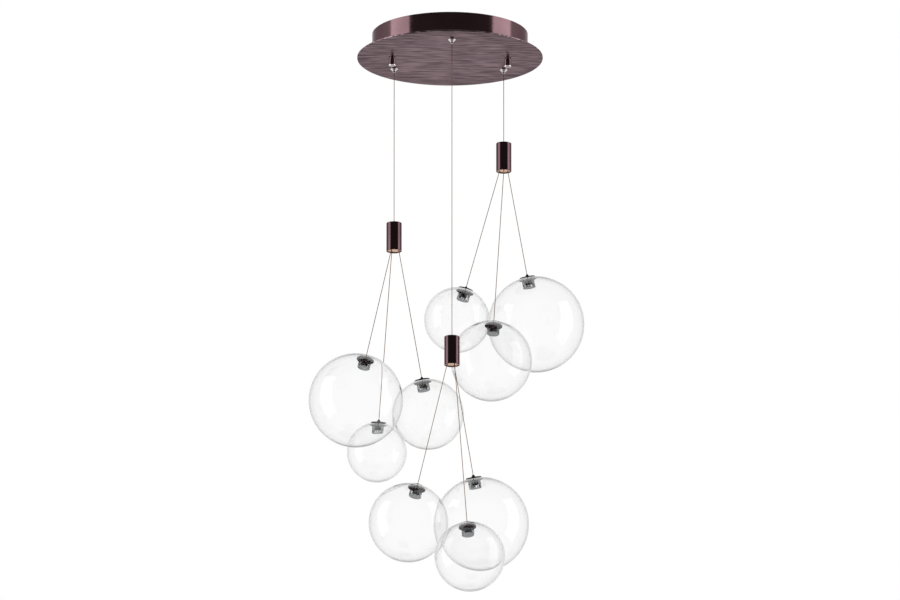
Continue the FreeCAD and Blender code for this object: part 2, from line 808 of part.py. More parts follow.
def bead_place(cluster, globe):
    """The centre of a cable's end bead, as three expressions: the point that the globe swings about."""
    across, along = exit_place(cluster)
    angle = "bead_bearing_%s%s * 1 deg" % (cluster, globe)
    return ("%s + bead_circle_radius * cos(%s)" % (across, angle),
            "%s + bead_circle_radius * sin(%s)" % (along, angle),
            "%s + %s" % (hub_top(cluster), BEAD_HEIGHT))


def make_base(cluster):
    """The hub's base plate with three bead seats that flare downwards, and the wire junction on it."""
    rim = "(%s - cable_clearance)" % HUB_BORE
    blank = turned("base_blank_" + cluster, [
        ("0", BASE_TOP),
        (rim, BASE_TOP),
        (rim, BASE_BOTTOM),
        ("0", BASE_BOTTOM),
    ])
    across, along = exit_place(cluster)
    move(blank, across, along, hub_top(cluster))
    tools = []
    seat_radius = "bead_diameter / 2 + swivel_clearance"
    flare = "bead_mouth_start + base_thickness / 2 * tan(bead_mouth_angle * 1 deg)"
    for globe in GLOBES:
        place = bead_place(cluster, globe)
        tag = cluster + globe
        tools.append(primitive("Sphere", "bead_seat_" + tag, place, Radius=seat_radius))
        tools.append(primitive("Cylinder", "bead_bore_" + tag, place, Radius=seat_radius,
                               Height="base_thickness / 2"))
        tools.append(primitive("Cone", "bead_mouth_" + tag,
                               (place[0], place[1], place[2] + " - base_thickness / 2"),
                               Radius1=flare, Radius2="bead_mouth_start", Height="base_thickness / 2"))
    plate = cut("base_plate_" + cluster, blank, tools)
    junction_radius = "junction_diameter / 2"
    bore = "cable_diameter / 2 + swivel_clearance"
    junction = turned("junction_" + cluster, [
        ("0", BASE_TOP),
        (junction_radius, BASE_TOP),
        (junction_radius, JUNCTION_TOP + " - junction_chamfer"),
        (junction_radius + " - junction_chamfer", JUNCTION_TOP),
        (bore, JUNCTION_TOP),
        (bore, JUNCTION_BORE_FLOOR + " - seat_clearance"),
        ("0", JUNCTION_BORE_FLOOR + " - seat_clearance"),
    ])
    move(junction, across, along, hub_top(cluster))
    return group("hub_base_" + cluster, [plate, junction])


# ---------------------------------------------------------------- globes

def bead_point(cluster, globe):
    return FreeCAD.Vector(*[value(text) for text in bead_place(cluster, globe)])


def globe_centres(cluster):
    """The centres of a cluster's three globes, each resting against the other two."""
    radii = [size("globe_%s%s_diameter" % (cluster, globe)) / 2 for globe in GLOBES]
    gap = size("globe_clearance")
    first_to_second = radii[0] + radii[1] + gap
    first_to_third = radii[0] + radii[2] + gap
    second_to_third = radii[1] + radii[2] + gap
    hub_foot = -size("hub_top_" + cluster) - size("hub_length")
    first = FreeCAD.Vector(size("first_x_" + cluster), size("first_y_" + cluster),
                           hub_foot - size("first_drop_" + cluster))
    bearing = math.radians(size("bearing_" + cluster))
    rise = math.radians(size("rise_" + cluster))
    roll = math.radians(size("roll_" + cluster))
    line = FreeCAD.Vector(math.cos(rise) * math.cos(bearing), math.cos(rise) * math.sin(bearing),
                          math.sin(rise))
    level = FreeCAD.Vector(-math.sin(bearing), math.cos(bearing), 0)
    below = level.cross(line)
    side = below * math.cos(roll) + level * math.sin(roll)
    step = (first_to_second ** 2 + first_to_third ** 2 - second_to_third ** 2) / (2 * first_to_second)
    reach = math.sqrt(first_to_third ** 2 - step ** 2)
    return [first, first + line * first_to_second, first + line * step + side * reach]


def hang(item, centre, bead):
    """Place a piece made about a globe's centre with +Z towards its bead."""
    item.Placement = FreeCAD.Placement(centre, FreeCAD.Rotation(FreeCAD.Vector(0, 0, 1), bead - centre))
    return item


def make_globe(cluster, globe, centre, bead):
    """The four pieces of one globe, coaxial with its cable."""
    tag = "globe_" + cluster + globe
    radius = "(%s_diameter / 2)" % tag
    inside = "(%s_diameter / 2 - %s_wall)" % (tag, tag)
    hole = "(globe_hole_diameter / 2)"
    rim = "sqrt(%s ^ 2 - %s ^ 2)" % (radius, hole)
    seat = "(%s + seat_clearance)" % rim
    washer_top = "(sqrt(%s ^ 2 - (washer_diameter / 2) ^ 2) - seat_clearance)" % inside
    washer_foot = "(%s - washer_thickness)" % washer_top

    shell = cut(tag + "_glass", primitive("Sphere", tag + "_outside", Radius=radius), [
        primitive("Sphere", tag + "_inside", Radius=inside),
        primitive("Cylinder", tag + "_hole", Radius=hole, Height=radius),
    ])

    wire_bore = "cable_diameter / 2 + cable_clearance"
    disc_top = seat + " + cap_thickness"
    cone = "cap_cone_base_diameter / 2"
    cap = turned(tag + "_cap_body", [
        (wire_bore, washer_top),
        ("cap_neck_diameter / 2", washer_top),
        ("cap_neck_diameter / 2", seat),
        ("cap_diameter / 2", seat),
        ("cap_diameter / 2", disc_top),
        (cone, disc_top),
        (cone, disc_top + " + cap_cone_collar_height"),
        ("cap_cone_tip_diameter / 2", disc_top + " + cap_cone_height"),
        (wire_bore, disc_top + " + cap_cone_height"),
    ])
    core = turned(tag + "_core", [
        ("0", washer_top),
        ("washer_diameter / 2", washer_top),
        ("washer_diameter / 2", washer_foot),
        ("core_diameter / 2", washer_foot),
        ("core_diameter / 2", washer_foot + " - core_length"),
        ("0", washer_foot + " - core_length"),
    ])
    holder = group(tag + "_cap", [cap, core])

    lens_foot = washer_foot + " - lens_length"
    blank = primitive("Prism", tag + "_lens_blank", ("0", "0", lens_foot),
                      Circumradius="lens_diameter / 2", Height="lens_length")
    blank.Polygon = int(size("lens_facets"))
    lens = cut(tag + "_lens", blank, [
        primitive("Cylinder", tag + "_lens_bore",
                  ("0", "0", washer_foot + " - core_length - seat_clearance"),
                  Radius="core_diameter / 2 + hole_clearance", Height="core_length + seat_clearance"),
        primitive("Cone", tag + "_lens_dish", ("0", "0", lens_foot),
                  Radius1="lens_dish_diameter / 2", Radius2="lens_dish_diameter / 2 - lens_dish_depth",
                  Height="lens_dish_depth"),
    ])

    strand = primitive("Cylinder", tag + "_strand", ("0", "0", washer_top), Radius="cable_diameter / 2")
    strand.Height = (bead - centre).Length - value(washer_top)
    knob = primitive("Sphere", tag + "_bead", Radius="bead_diameter / 2")
    knob.Placement.Base = FreeCAD.Vector(0, 0, (bead - centre).Length)
    cable = fuse(tag + "_cable", [strand, knob])

    return [hang(item, centre, bead) for item in (shell, holder, lens, cable)]


# ---------------------------------------------------------------- the whole light

def make_all():
    fill_sheet([CANOPY_SIZES, INSIDE_SIZES, GRIP_SIZES, HUB_SIZES, GLOBE_SIZES, LAYOUT_SIZES,
                CLEARANCES])
    nodes = [make_drum(), make_disc(), make_weld_nuts(), make_bracket(), make_hanging_studs(),
             make_cap_nuts(), make_driver(), make_terminal_block(), make_grips()]
    for cluster in CLUSTERS:
        nodes.append(make_grip_ball(cluster))
        nodes.append(make_main_cable(cluster))
        nodes.append(make_gland(cluster))
        nodes.append(make_sleeve(cluster))
        nodes.append(make_base(cluster))
        for globe, centre in zip(GLOBES, globe_centres(cluster)):
            nodes.extend(make_globe(cluster, globe, centre, bead_point(cluster, globe)))
    doc.recompute()
    return nodes


def check_and_write(nodes):
    """Stop on any failed object or broken shape, then write each node's solids."""
    for item in doc.Objects:
        if "Invalid" in item.State or "Error" in item.State:
            raise RuntimeError("%s is %s" % (item.Label, item.State))
    for node in nodes:
        if node.Shape.isNull() or not node.Shape.isValid():
            raise RuntimeError(node.Label + " has no valid shape")
    os.makedirs("parts", exist_ok=True)
    for node in nodes:
        node.Shape.exportStep("parts/%s.step" % node.Label)
        print("%-20s %2d solids %12.1f mm3" % (node.Label, len(node.Shape.Solids), node.Shape.Volume))
    print(len(nodes), "nodes")


check_and_write(make_all())
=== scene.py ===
import json
import math

import bpy
from mathutils import Matrix, Vector


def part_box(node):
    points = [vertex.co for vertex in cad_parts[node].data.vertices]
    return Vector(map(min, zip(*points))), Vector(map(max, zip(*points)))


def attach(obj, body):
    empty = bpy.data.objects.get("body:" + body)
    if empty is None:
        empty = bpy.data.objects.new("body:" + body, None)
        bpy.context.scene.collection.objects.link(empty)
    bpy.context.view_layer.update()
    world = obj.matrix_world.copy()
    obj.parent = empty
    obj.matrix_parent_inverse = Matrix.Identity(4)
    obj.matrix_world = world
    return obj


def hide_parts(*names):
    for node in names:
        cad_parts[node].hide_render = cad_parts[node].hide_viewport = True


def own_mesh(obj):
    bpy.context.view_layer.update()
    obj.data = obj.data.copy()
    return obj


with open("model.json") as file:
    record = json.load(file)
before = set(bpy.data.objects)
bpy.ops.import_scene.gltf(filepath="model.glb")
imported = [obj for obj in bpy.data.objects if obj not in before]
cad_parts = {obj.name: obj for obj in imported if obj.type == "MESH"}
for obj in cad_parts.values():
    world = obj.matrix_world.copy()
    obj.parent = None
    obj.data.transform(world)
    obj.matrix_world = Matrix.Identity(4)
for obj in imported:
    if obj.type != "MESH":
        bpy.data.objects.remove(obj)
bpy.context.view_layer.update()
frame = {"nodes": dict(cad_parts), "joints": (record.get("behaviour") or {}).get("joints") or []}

# ---------------------------------------------------------------- sizes (metres, degrees, watts)

CLUSTERS = ("a", "b", "c")
GLOBE_TAGS = tuple("%s%d" % (cluster, globe) for cluster in CLUSTERS for globe in (1, 2, 3))

FRAME_WIDTH = 1.933
SENSOR_WIDTH = 36.0
CAMERA_TARGET = Vector((0.0, 0.0, -0.596))
CAMERA_DISTANCE = 45.0
CAMERA_AZIMUTH = -1.7
CAMERA_ELEVATION = -16.5

PANEL_POWER = 40.0
PANEL_WIDTH = 1.4
PANEL_HEIGHT = 3.4
PANEL_SIDE = 2.2
PANEL_FRONT = 0.4
PANEL_LEVEL = -0.6
# What metal and glass reflect, from the front to the back, and the Y of a ray between which it turns.
STUDIO_FRONT = (0.10, 0.085, 0.085)
STUDIO_BACK = (0.95, 0.95, 0.95)
STUDIO_TURN = (-0.40, 0.24)

FLOOR_HEIGHT = -24.0
FLOOR_WIDTH = 600.0

CABLE_DIAMETER = 0.0015
CABLE_LAY = 0.006
CABLE_RING_STEP = 0.0006
CABLE_SIDES = 12
STRANDS = 3
STRAND_RELIEF = 0.13

GLOBE_DIAMETERS = {
    "a1": 0.203, "a2": 0.153, "a3": 0.129,
    "b1": 0.141, "b2": 0.208, "b3": 0.175,
    "c1": 0.170, "c2": 0.203, "c3": 0.150,
}
GLOBE_WALLS = {
    "a1": 0.0015, "a2": 0.002, "a3": 0.0025,
    "b1": 0.0025, "b2": 0.0015, "b3": 0.002,
    "c1": 0.002, "c2": 0.0015, "c3": 0.0025,
}
LENS_RADIUS = 0.0135
LENS_BORE_RADIUS = 0.0068
LENS_BORE_DEPTH = 0.0111
LENS_FLUTES = 24
LENS_FLUTE_DEPTH = 0.0007
LENS_SEGMENTS = 192
LENS_FLUTE_RADIUS = 0.0134
LENS_TOP_RADIUS = 0.0130
LENS_TOP_ROUNDING = 0.0004
LENS_FLUTE_FOOT = 0.003
LENS_DISH_RADIUS = 0.009
LENS_DISH_HEIGHT = 0.001
LENS_FACE_HEIGHT = 0.0006
LENS_MATCH = 0.0001
# The lens's lower end, radius and height above its foot: dished face, plain rim, groove.
LENS_FOOT = (
    (0, 0.0008), (0.0086, 0.0008), (0.0094, 0.0003), (0.0102, 0),
    (0.0124, 0), (0.0131, 0.0003), (LENS_RADIUS, 0.0009),
    (LENS_RADIUS, 0.0021), (0.0129, 0.0024), (0.0129, 0.0029),
    (LENS_FLUTE_RADIUS, 0.0033),
)

TERMINAL_PITCH = 0.018
TERMINAL_SHIFT = -0.050
TERMINAL_SCREW_SPACING = 0.010
TERMINAL_SCREW_RADIUS = 0.00232

GLOBE_HOLE_RADIUS = 0.0142
GLOBE_RINGS = 72
GLOBE_SEGMENTS = 128

joint_places = {joint["name"]: Vector(joint["pos_m"]) for joint in frame["joints"] if "pos_m" in joint}


# ---------------------------------------------------------------- mesh helpers

def upright(direction):
    """The rotation that turns +Z into a direction."""
    return direction.to_track_quat("Z", "Y")


def mesh_piece(name, points, faces, material, crease=math.radians(35)):
    """A smooth mesh object with creases where its faces meet at more than an angle."""
    mesh = bpy.data.meshes.new(name)
    mesh.from_pydata(points, [], faces)
    mesh.shade_smooth()
    mesh.set_sharp_from_angle(angle=crease)
    mesh.materials.append(material)
    piece = bpy.data.objects.new(name, mesh)
    bpy.context.scene.collection.objects.link(piece)
    return piece


def lathed(name, outline, segments, material):
    """A mesh turned about its Z axis; outline points of no radius become single poles."""
    points = []
    rings = []
    for radius, height in outline:
        if radius == 0:
            rings.append([len(points)] * segments)
            points.append((0, 0, height))
            continue
        rings.append(list(range(len(points), len(points) + segments)))
        for i in range(segments):
            turn = math.tau * i / segments
            points.append((radius * math.cos(turn), radius * math.sin(turn), height))
    faces = []
    for lower, upper in zip(rings, rings[1:]):
        for i in range(segments):
            after = (i + 1) % segments
            face = [lower[i], lower[after], upper[after], upper[i]]
            faces.append([corner for k, corner in enumerate(face) if corner != face[k - 1]])
    return mesh_piece(name, points, faces, material)


def arc(radius, first, last, steps):
    """Points of radius and height along a circle about the origin, by angle from +Z."""
    points = []
    for i in range(steps + 1):
        angle = first + (last - first) * i / steps
        points.append((radius * math.sin(angle), radius * math.cos(angle)))
    return points


def paint(node, material):
    """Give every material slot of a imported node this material."""
    for slot in frame["nodes"][node].material_slots:
        slot.material = material


# ---------------------------------------------------------------- material helpers

class Shading:
    """A new material with a principled shader, and short ways to add nodes to it."""

    def __init__(self, name, **settings):
        self.material = bpy.data.materials.new(name)
        self.material.use_nodes = True
        self.tree = self.material.node_tree
        self.shader = self.tree.nodes["Principled BSDF"]
        for socket, setting in settings.items():
            self.shader.inputs[socket.replace("_", " ")].default_value = setting

    def add(self, kind, settings=(), **inputs):
        """A node with its settings and its inputs, each a number, a colour or another node's output."""
        node = self.tree.nodes.new("ShaderNode" + kind)
        for name, setting in dict(settings).items():
            setattr(node, name, setting)
        for name, source in inputs.items():
            socket = node.inputs[int(name[1:])] if name[0] == "i" and name[1:].isdigit() \
                else node.inputs[name.replace("_", " ")]
            if isinstance(source, bpy.types.NodeSocket):
                self.tree.links.new(source, socket)
            else:
                socket.default_value = source
        return node

    def feed(self, socket, source):
        self.tree.links.new(source, self.shader.inputs[socket])

    def place(self):
        return self.add("TexCoord").outputs["Object"]

    def stretched(self, source, scale):
        return self.add("Mapping", Vector=source, Scale=scale).outputs["Vector"]

    def noise(self, source, scale=1.0, detail=2.0, roughness=0.5):
        return self.add("TexNoise", Vector=source, Scale=scale, Detail=detail,
                        Roughness=roughness).outputs["Fac"]

    def maths(self, operation, first, second=0.0):
        return self.add("Math", {"operation": operation}, i0=first, i1=second).outputs[0]

    def ramp(self, source, *stops):
        """A colour ramp with stops of position and colour."""
        node = self.add("ValToRGB", Fac=source)
        points = node.color_ramp.elements
        while len(points) < len(stops):
            points.new(0.5)
        for point, (position, colour) in zip(points, stops):
            point.position = position
            point.color = (*colour, 1) if isinstance(colour, tuple) else (colour, colour, colour, 1)
        return node.outputs["Color"]

    def spread(self, source, low, high):
        """A value that runs from low to high as the source runs from 0 to 1."""
        return self.add("MapRange", Value=source, To_Min=low, To_Max=high).outputs["Result"]

    def bump(self, source, depth, strength=1.0):
        return self.add("Bump", Height=source, Distance=depth, Strength=strength).outputs["Normal"]


def shade(colour, factor):
    return tuple(channel * factor for channel in colour)


# ---------------------------------------------------------------- materials

# Colours of the metals, and how their edges are tinted where they are seen edge on.
BRONZE = (0.120, 0.072, 0.080)
BRUSHED_BRONZE = (0.190, 0.137, 0.152)
# The hub's bronze is the drum's bronze darkened: painted shade.
HUB_SHADED_BRONZE = (0.084, 0.050, 0.056)
BRONZE_EDGE = (0.56, 0.52, 0.53, 1.0)
NICKEL = (0.72, 0.66, 0.66)
NICKEL_EDGE = (0.95, 0.93, 0.93, 1.0)
COPPER = (0.66, 0.40, 0.27)
ZINC = (0.62, 0.64, 0.66)

# The brushed disc's streaks: share, scale along X, across and through the sheet, and detail.
PLATE_STREAKS = (
    (0.50, (18, 150, 20), 2),
    (0.38, (26, 300, 20), 3),
    (0.12, (40, 1400, 20), 2),
)
# Painted shade: the radii between which the disc darkens towards its rim, and by how much.
PLATE_RIM = (0.12, 0.2)
PLATE_RIM_PAINTED_SHADE = 0.04

# Painted shade on the glass: its colour by how far it is seen edge on, round its sides and, darker, at its crown
# and foot.
GLASS_SIDE = ((0.05, 0.995), (0.32, 0.975), (0.52, 0.94), (0.66, 0.88), (0.75, 0.78), (0.82, 0.56), (1.0, 0.32))
GLASS_CROWN = ((0.05, 0.995), (0.34, 0.97), (0.56, 0.93), (0.68, 0.84), (0.75, 0.45), (0.81, 0.13), (1.0, 0.05))
GLASS_CROWN_SLOPE = (0.78, 0.97)


def brushed_plate():
    """Dark bronze sheet brushed from left to right: streaks of three widths, and painted shade that darkens it
    round the rim.
    """
    look = Shading("plate_brushed_bronze", Metallic=1.0, Anisotropic=0.8, Specular_Tint=BRONZE_EDGE)
    place = look.place()
    streaks = 0.0
    for share, scale, detail in PLATE_STREAKS:
        layer = look.noise(look.stretched(place, scale), detail=detail)
        streaks = look.maths("ADD", streaks, look.maths("MULTIPLY", layer, share))
    # Painted shade: the disc's colour darkens towards its rim.
    radius = look.add("VectorMath", {"operation": "LENGTH"}, i0=look.stretched(place, (1, 1, 0)))
    rim = look.add("MapRange", Value=radius.outputs["Value"], From_Min=PLATE_RIM[0], From_Max=PLATE_RIM[1],
                   To_Max=PLATE_RIM_PAINTED_SHADE)
    streaks = look.maths("SUBTRACT", streaks, rim.outputs["Result"])
    look.feed("Base Color", look.ramp(streaks, (0.39, shade(BRUSHED_BRONZE, 0.38)), (0.49, BRUSHED_BRONZE),
                                      (0.59, shade(BRUSHED_BRONZE, 1.80))))
    look.feed("Roughness", look.spread(streaks, 0.20, 0.40))
    look.feed("Normal", look.bump(streaks, 0.0003, 0.35))
    tangent = look.add("CombineXYZ", i0=1.0)
    look.feed("Tangent", tangent.outputs[0])
    return look.material


def turned_metal(name, colour, edge, roughness, line_scale, line_depth):
    """Polished metal with faint turning lines round Z; edge is its tint where it is seen edge on."""
    look = Shading(name, Metallic=1.0, Roughness=roughness, Specular_Tint=edge)
    place = look.place()
    lines = look.noise(look.stretched(place, (6, 6, line_scale)), detail=3)
    stain = look.noise(place, scale=18, detail=3)
    look.feed("Base Color", look.ramp(stain, (0.3, shade(colour, 0.86)), (0.7, shade(colour, 1.12))))
    look.feed("Roughness", look.spread(lines, roughness * 0.75, roughness * 1.3))
    look.feed("Normal", look.bump(lines, line_depth, 0.3))
    return look.material


def zinc_plate():
    look = Shading("zinc_plated_steel", Metallic=1.0)
    place = look.place()
    spangle = look.add("TexVoronoi", {"feature": "F1"}, Vector=place, Scale=220).outputs["Distance"]
    grain = look.noise(place, scale=900, detail=3)
    look.feed("Base Color", look.ramp(spangle, (0.0, shade(ZINC, 0.82)), (0.8, ZINC)))
    look.feed("Roughness", look.spread(grain, 0.28, 0.46))
    look.feed("Normal", look.bump(grain, 0.00003, 0.4))
    return look.material


def satin_copper():
    look = Shading("hub_base_copper", Metallic=1.0)
    place = look.place()
    grain = look.noise(look.stretched(place, (400, 400, 60)), detail=3)
    look.feed("Base Color", look.ramp(grain, (0.35, shade(COPPER, 0.85)), (0.7, shade(COPPER, 1.08))))
    look.feed("Roughness", look.spread(grain, 0.22, 0.36))
    look.feed("Normal", look.bump(grain, 0.00003, 0.4))
    return look.material


def cable_copper():
    """Fine copper strands under a thin clear lacquer."""
    look = Shading("cable_copper_strands", Metallic=1.0, Coat_Weight=0.2, Coat_Roughness=0.15,
                   Specular_Tint=(0.7, 0.5, 0.4, 1.0))
    place = look.place()
    grain = look.noise(look.stretched(place, (2500, 2500, 300)), detail=2)
    look.feed("Base Color", look.ramp(grain, (0.3, (0.095, 0.048, 0.026)), (0.7, (0.27, 0.145, 0.078))))
    look.feed("Roughness", look.spread(grain, 0.28, 0.42))
    return look.material


def black_powder():
    look = Shading("cap_black_powder_coat", Specular_IOR_Level=0.04)
    place = look.place()
    grain = look.noise(place, scale=2600, detail=2)
    look.feed("Base Color", look.ramp(grain, (0.3, 0.007), (0.75, 0.016)))
    look.feed("Roughness", look.spread(grain, 0.6, 0.75))
    look.feed("Normal", look.bump(grain, 0.00003, 0.35))
    return look.material


def clear_glass():
    """Blown glass: faint waves, and painted shade: a grey body that deepens where the wall is seen edge on,
    most of all at the crown and the foot, which stay at the top and bottom however the globe hangs."""
    look = Shading("globe_clear_glass", Roughness=0.0, IOR=1.32, Transmission_Weight=1.0)
    # Painted shade: the glass's colour darkens as the wall is seen more edge on.
    slant = look.add("LayerWeight", Blend=0.5).outputs["Facing"]
    side = look.ramp(slant, *GLASS_SIDE)
    crown = look.ramp(slant, *GLASS_CROWN)
    # Painted shade at the crown and foot, picked by the upward part of the normal in the world.
    height = look.add("SeparateXYZ", i0=look.add("NewGeometry").outputs["Normal"]).outputs["Z"]
    crown_shade_mask = look.add("MapRange", {"interpolation_type": "SMOOTHSTEP"}, Value=look.maths("ABSOLUTE", height),
                     From_Min=GLASS_CROWN_SLOPE[0], From_Max=GLASS_CROWN_SLOPE[1]).outputs["Result"]
    body = look.add("Mix", {"data_type": "RGBA"}, Factor=crown_shade_mask)
    look.tree.links.new(side, body.inputs["A"])
    look.tree.links.new(crown, body.inputs["B"])
    look.feed("Base Color", body.outputs["Result"])
    waves = look.noise(look.place(), scale=9, detail=1)
    look.feed("Normal", look.bump(waves, 0.0006, 0.05))
    absorbed = look.add("VolumeAbsorption", Color=(0.55, 0.58, 0.58, 1.0), Density=6.0)
    output = look.tree.nodes["Material Output"]
    look.tree.links.new(absorbed.outputs["Volume"], output.inputs["Volume"])
    return look.material


def lens_ribs():
    """The lens's fluted wall: clear plastic with painted dark and light stripes along its flutes, painted shade
    and highlight, and painted shade where it is seen edge on.
    """
    look = Shading("lens_clear_flutes", IOR=1.16, Transmission_Weight=1.0)
    around = look.add("UVMap").outputs["UV"]
    flutes = look.noise(look.stretched(around, (LENS_FLUTES, 1.2, 1)), scale=1.0, detail=2, roughness=0.6)
    slant = look.add("LayerWeight", Blend=0.5).outputs["Facing"]
    # Painted shade: the wall darkens where it is seen edge on.
    painted_edge_shade = look.ramp(slant, (0.0, 0.96), (0.42, 0.88), (0.62, 0.32), (1.0, 0.03))
    # Painted shade and highlight: dark and light stripes along the flutes, in place of what they refract.
    painted_stripes = look.ramp(flutes, (0.43, (0.03, 0.033, 0.035)), (0.51, (0.30, 0.32, 0.33)), (0.57, (1.0, 1.0, 1.0)))
    mix = look.add("Mix", {"data_type": "RGBA", "blend_type": "MULTIPLY"}, Factor=1.0)
    look.tree.links.new(painted_edge_shade, mix.inputs["A"])
    look.tree.links.new(painted_stripes, mix.inputs["B"])
    look.feed("Base Color", mix.outputs["Result"])
    look.feed("Roughness", look.spread(flutes, 0.10, 0.03))
    return look.material


def lens_face():
    """The lens's lower face: frosted grey."""
    look = Shading("lens_frosted_face", IOR=1.3, Transmission_Weight=0.1, Specular_IOR_Level=0.3)
    grain = look.noise(look.place(), scale=1600, detail=2)
    look.feed("Base Color", look.ramp(grain, (0.3, (0.27, 0.28, 0.29)), (0.7, (0.42, 0.43, 0.44))))
    look.feed("Roughness", look.spread(grain, 0.3, 0.5))
    look.feed("Normal", look.bump(grain, 0.00004, 0.4))
    return look.material


def white_plastic(name, colour):
    look = Shading(name)
    place = look.place()
    grain = look.noise(place, scale=1400, detail=3)
    stain = look.noise(place, scale=30, detail=2)
    look.feed("Base Color", look.ramp(stain, (0.3, shade(colour, 0.94)), (0.7, colour)))
    look.feed("Roughness", look.spread(grain, 0.38, 0.55))
    look.feed("Normal", look.bump(grain, 0.00004, 0.4))
    return look


def terminal_plastic():
    """Cream plastic, and bright metal where the clamp screws stand in its wells."""
    look = white_plastic("terminal_cream_plastic", (0.74, 0.73, 0.68))
    split = look.add("SeparateXYZ", i0=look.place()).outputs
    across = look.maths("PINGPONG", split["X"], TERMINAL_PITCH / 2)
    along = look.maths("ABSOLUTE", look.maths("SUBTRACT", split["Y"], TERMINAL_SHIFT))
    along = look.maths("SUBTRACT", along, TERMINAL_SCREW_SPACING / 2)
    apart = look.maths("SQRT", look.maths("ADD", look.maths("MULTIPLY", across, across),
                                          look.maths("MULTIPLY", along, along)))
    screw = look.maths("LESS_THAN", apart, TERMINAL_SCREW_RADIUS)
    plastic = look.shader.inputs["Base Color"].links[0].from_socket
    mix = look.add("Mix", {"data_type": "RGBA"}, Factor=screw)
    look.tree.links.new(plastic, mix.inputs["A"])
    mix.inputs["B"].default_value = (*ZINC, 1)
    look.feed("Base Color", mix.outputs["Result"])
    look.feed("Metallic", screw)
    return look


# ---------------------------------------------------------------- cords

def strand_tube(name, start, end, material):
    """A straight cord of fine strands laid in a spiral, from start to end."""
    length = (end - start).length
    steps = math.ceil(length / CABLE_RING_STEP)
    turned = upright((end - start).normalized())
    points = []
    for i in range(steps + 1):
        along = length * i / steps
        for k in range(CABLE_SIDES):
            angle = math.tau * k / CABLE_SIDES
            lobe = abs(math.cos((angle - math.tau * along / CABLE_LAY) * STRANDS / 2))
            radius = CABLE_DIAMETER / 2 * (1 - STRAND_RELIEF * (1 - lobe))
            points.append(start + turned @ Vector((radius * math.cos(angle), radius * math.sin(angle), along)))
    faces = [list(reversed(range(CABLE_SIDES)))]
    for i in range(steps):
        for k in range(CABLE_SIDES):
            after = (k + 1) % CABLE_SIDES
            low = i * CABLE_SIDES
            faces.append([low + k, low + after, low + CABLE_SIDES + after, low + CABLE_SIDES + k])
    faces.append(list(range(steps * CABLE_SIDES, (steps + 1) * CABLE_SIDES)))
    return mesh_piece(name, points, faces, material, crease=math.radians(60))


def main_cable(cluster, material):
    """The cable from a grip to its hub, which shortens as the hub rises."""
    low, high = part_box("main_cable_" + cluster)
    centre = (low + high) / 2
    start = Vector((centre.x, centre.y, high.z))
    end = Vector((centre.x, centre.y, low.z))
    piece = strand_tube("main_cord_" + cluster, start, end, material)
    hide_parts("main_cable_" + cluster)
    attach(piece, "cable_" + cluster)
    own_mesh(piece)


# ---------------------------------------------------------------- globes

class Globe:
    """Where a globe is and how it hangs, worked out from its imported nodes."""

    def __init__(self, tag):
        self.tag = tag
        self.node = "globe_" + tag
        self.radius = GLOBE_DIAMETERS[tag] / 2
        self.wall = GLOBE_WALLS[tag]
        low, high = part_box(self.node + "_glass")
        self.centre = Vector(((low.x + high.x) / 2, (low.y + high.y) / 2, low.z + self.radius))
        self.bead = joint_places[tag + "_swing_out"]
        self.up = (self.bead - self.centre).normalized()

    def put(self, piece):
        """Place a piece made about the globe's centre, +Z towards its cable."""
        piece.data.transform(Matrix.LocRotScale(self.centre, upright(self.up), None))
        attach(piece, self.node)
        return piece


def globe_glass(globe, material):
    """The blown shell: outer sphere, rounded lip at the hole, inner sphere."""
    outer = globe.radius
    inner = outer - globe.wall
    lip = globe.wall / 2
    lip_reach = GLOBE_HOLE_RADIUS + lip
    middle = outer - lip
    outer_edge = math.asin(lip_reach / outer)
    inner_edge = math.asin(lip_reach / inner)
    tilt = math.asin(lip_reach / middle)
    outline = arc(outer, math.pi, outer_edge, GLOBE_RINGS)
    lip_centre = (lip_reach, math.sqrt(middle ** 2 - lip_reach ** 2))
    for i in range(1, 6):
        turn = math.pi / 2 - tilt + math.pi * i / 6
        outline.append((lip_centre[0] + lip * math.cos(turn), lip_centre[1] + lip * math.sin(turn)))
    outline += arc(inner, inner_edge, math.pi, GLOBE_RINGS)
    outline[0] = (0, -outer)
    outline[-1] = (0, -inner)
    piece = lathed("glass_" + globe.tag, outline, GLOBE_SEGMENTS, material)
    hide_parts(globe.node + "_glass")
    return globe.put(piece)


